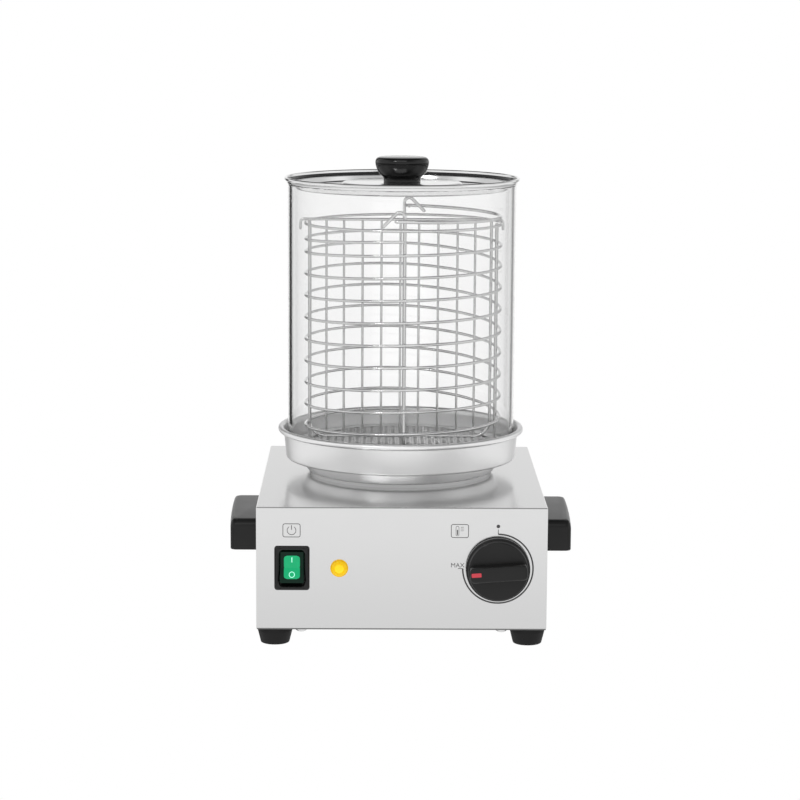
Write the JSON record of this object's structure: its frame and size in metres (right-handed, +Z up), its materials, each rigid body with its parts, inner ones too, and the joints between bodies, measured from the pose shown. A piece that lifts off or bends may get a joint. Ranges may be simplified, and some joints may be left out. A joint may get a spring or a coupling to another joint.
{
  "type": "hot dog steamer",
  "caption": "Countertop hot dog steamer: a steel base with controls and side handles, a water pan on its hot plate, and a lidded glass cylinder round a coiled wire sausage basket.",
  "frame": {"origin": "on the surface that the feet stand on, under the middle of the housing", "axes": "+Z up; the controls face -Y; +X is to the right as seen from the front"},
  "size_m": [0.2964, 0.3354, 0.3945],
  "materials": {
    "housing_steel": "satin",
    "base_steel": "satin",
    "fastener_steel": "bright",
    "foot_rubber": "matte",
    "handle_plastic": "satin",
    "switch_plastic": "satin",
    "contact_brass": "bright",
    "lamp_holder_plastic": "gloss",
    "amber_lens": "gloss",
    "thermostat_case": "satin",
    "plate_aluminium": "machined",
    "element_iron": "matte",
    "cutout_plastic": "satin",
    "block_plastic": "satin",
    "gland_plastic": "satin",
    "green_rocker": "gloss",
    "knob_plastic": "satin",
    "pan_steel": "polished",
    "clear_glass": "clear",
    "sieve_steel": "satin",
    "basket_wire": "polished",
    "lid_steel": "polished",
    "lid_knob_plastic": "satin"
  },
  "bodies": {
    "base": {"housing": "housing_steel", "base_plate": "base_steel", "feet": "foot_rubber", "foot_screws": "fastener_steel", "foot_nuts": "fastener_steel", "base_plate_screws": "fastener_steel", "handle_left": "handle_plastic", "handle_right": "handle_plastic", "handle_screws": "fastener_steel", "switch_body": "switch_plastic", "switch_terminals": "contact_brass", "indicator_holder": "lamp_holder_plastic", "indicator_lens": "amber_lens", "indicator_nut": "fastener_steel", "thermostat_body": "thermostat_case", "thermostat_screws": "fastener_steel", "hot_plate": "plate_aluminium", "heating_element": "element_iron", "element_clamp": "fastener_steel", "clamp_stud": "fastener_steel", "clamp_nut": "fastener_steel", "overheat_cutout": "cutout_plastic", "terminal_block": "block_plastic", "cable_gland": "gland_plastic", "gland_nut": "gland_plastic"},
    "rocker": {"switch_rocker": "green_rocker"},
    "thermostat": {"thermostat_knob": "knob_plastic", "thermostat_shaft": "fastener_steel"},
    "pan": {"water_pan": "pan_steel"},
    "glass": {"glass_cylinder": "clear_glass"},
    "sieve": {"sieve_plate": "sieve_steel"},
    "basket": {"basket_top_ring": "basket_wire", "basket_coil": "basket_wire", "basket_posts": "basket_wire", "basket_side_posts": "basket_wire", "basket_divider": "basket_wire"},
    "bail": {"basket_bail": "basket_wire"},
    "cover": {"lid": "lid_steel", "lid_knob": "lid_knob_plastic", "lid_knob_screw": "fastener_steel"}
  },
  "joints": [
    {"name": "pan_lift", "type": "slide", "parent": "base", "child": "pan", "axis": [0, 0, 1], "range_m": [0, 0.06]},
    {"name": "glass_lift", "type": "slide", "parent": "pan", "child": "glass", "axis": [0, 0, 1], "range_m": [0, 0.06]},
    {"name": "sieve_lift", "type": "slide", "parent": "glass", "child": "sieve", "axis": [0, 0, 1], "range_m": [0, 0.25]},
    {"name": "basket_lift", "type": "slide", "parent": "sieve", "child": "basket", "axis": [0, 0, 1], "range_m": [0, 0.25]},
    {"name": "bail_swing", "type": "hinge", "parent": "basket", "child": "bail", "pos_m": [0.0031, 0.02, 0.3452], "axis": [-0.0599, -0.9982, 0], "range_deg": [0, 90]},
    {"name": "lid_lift", "type": "slide", "parent": "basket", "child": "cover", "axis": [0, 0, 1], "range_m": [0, 0.15]},
    {"name": "thermostat_turn", "type": "hinge", "parent": "base", "child": "thermostat", "pos_m": [0.0793, -0.145, 0.066], "axis": [0, -1, 0], "range_deg": [0, 270]},
    {"name": "rocker_tilt", "type": "hinge", "parent": "base", "child": "rocker", "pos_m": [-0.0905, -0.1417, 0.066], "axis": [1, 0, 0], "range_deg": [0, 20]}
  ],
  "couplings": [
    {"joint": "bail_swing", "follows": "lid_lift", "rad_per_m": 10.4}
  ]
}
